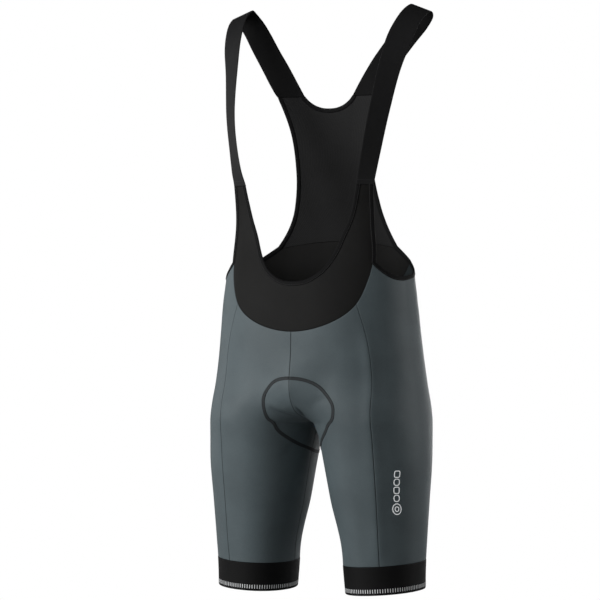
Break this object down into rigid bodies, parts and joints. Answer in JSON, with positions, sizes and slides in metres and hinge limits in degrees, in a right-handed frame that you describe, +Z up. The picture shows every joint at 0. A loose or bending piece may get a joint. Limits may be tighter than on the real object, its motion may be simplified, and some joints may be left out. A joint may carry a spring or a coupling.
{
  "type": "cycling bib shorts",
  "caption": "Cycling bib shorts, filled out as worn with nobody in them: grey legs, black scooped bib, net back, elastic straps, leg grippers and a blue seat pad inside.",
  "frame": {"origin": "midway between the two shoulder crowns, level with the underside of the straps there, where the wearer's shoulders hold the garment up", "axes": "+Z up, the front faces -Y, and the wearer's left is +X"},
  "size_m": [0.378, 0.2285, 0.9608],
  "materials": {
    "grey_cloth": "matt warp-knit stretch cloth with a faint sheen, blue-grey",
    "black_cloth": "smooth matt stretch cloth, black",
    "net": "fine open net, black",
    "elastic": "ribbed woven elastic, black, with a soft sheen",
    "gripper": "dense smooth elastic band, black, with light grey ticks above the hem",
    "binding": "folded elastic binding, black, stitched",
    "pad": "moulded foam pad with a brushed blue face and fine lighter contour lines"
  },
  "bodies": {
    "root": {"bib_front": "black_cloth", "back_yoke": "black_cloth", "back_net": "net", "front_left": "grey_cloth", "front_right": "grey_cloth", "side_left": "grey_cloth", "side_right": "grey_cloth", "cuff_left": "gripper", "cuff_right": "gripper", "strap_left": "elastic", "strap_right": "elastic", "binding_neck_front": "binding", "binding_neck_back": "binding", "binding_armhole_left": "binding", "binding_armhole_right": "binding", "pad": "pad"}
  },
  "joints": []
}
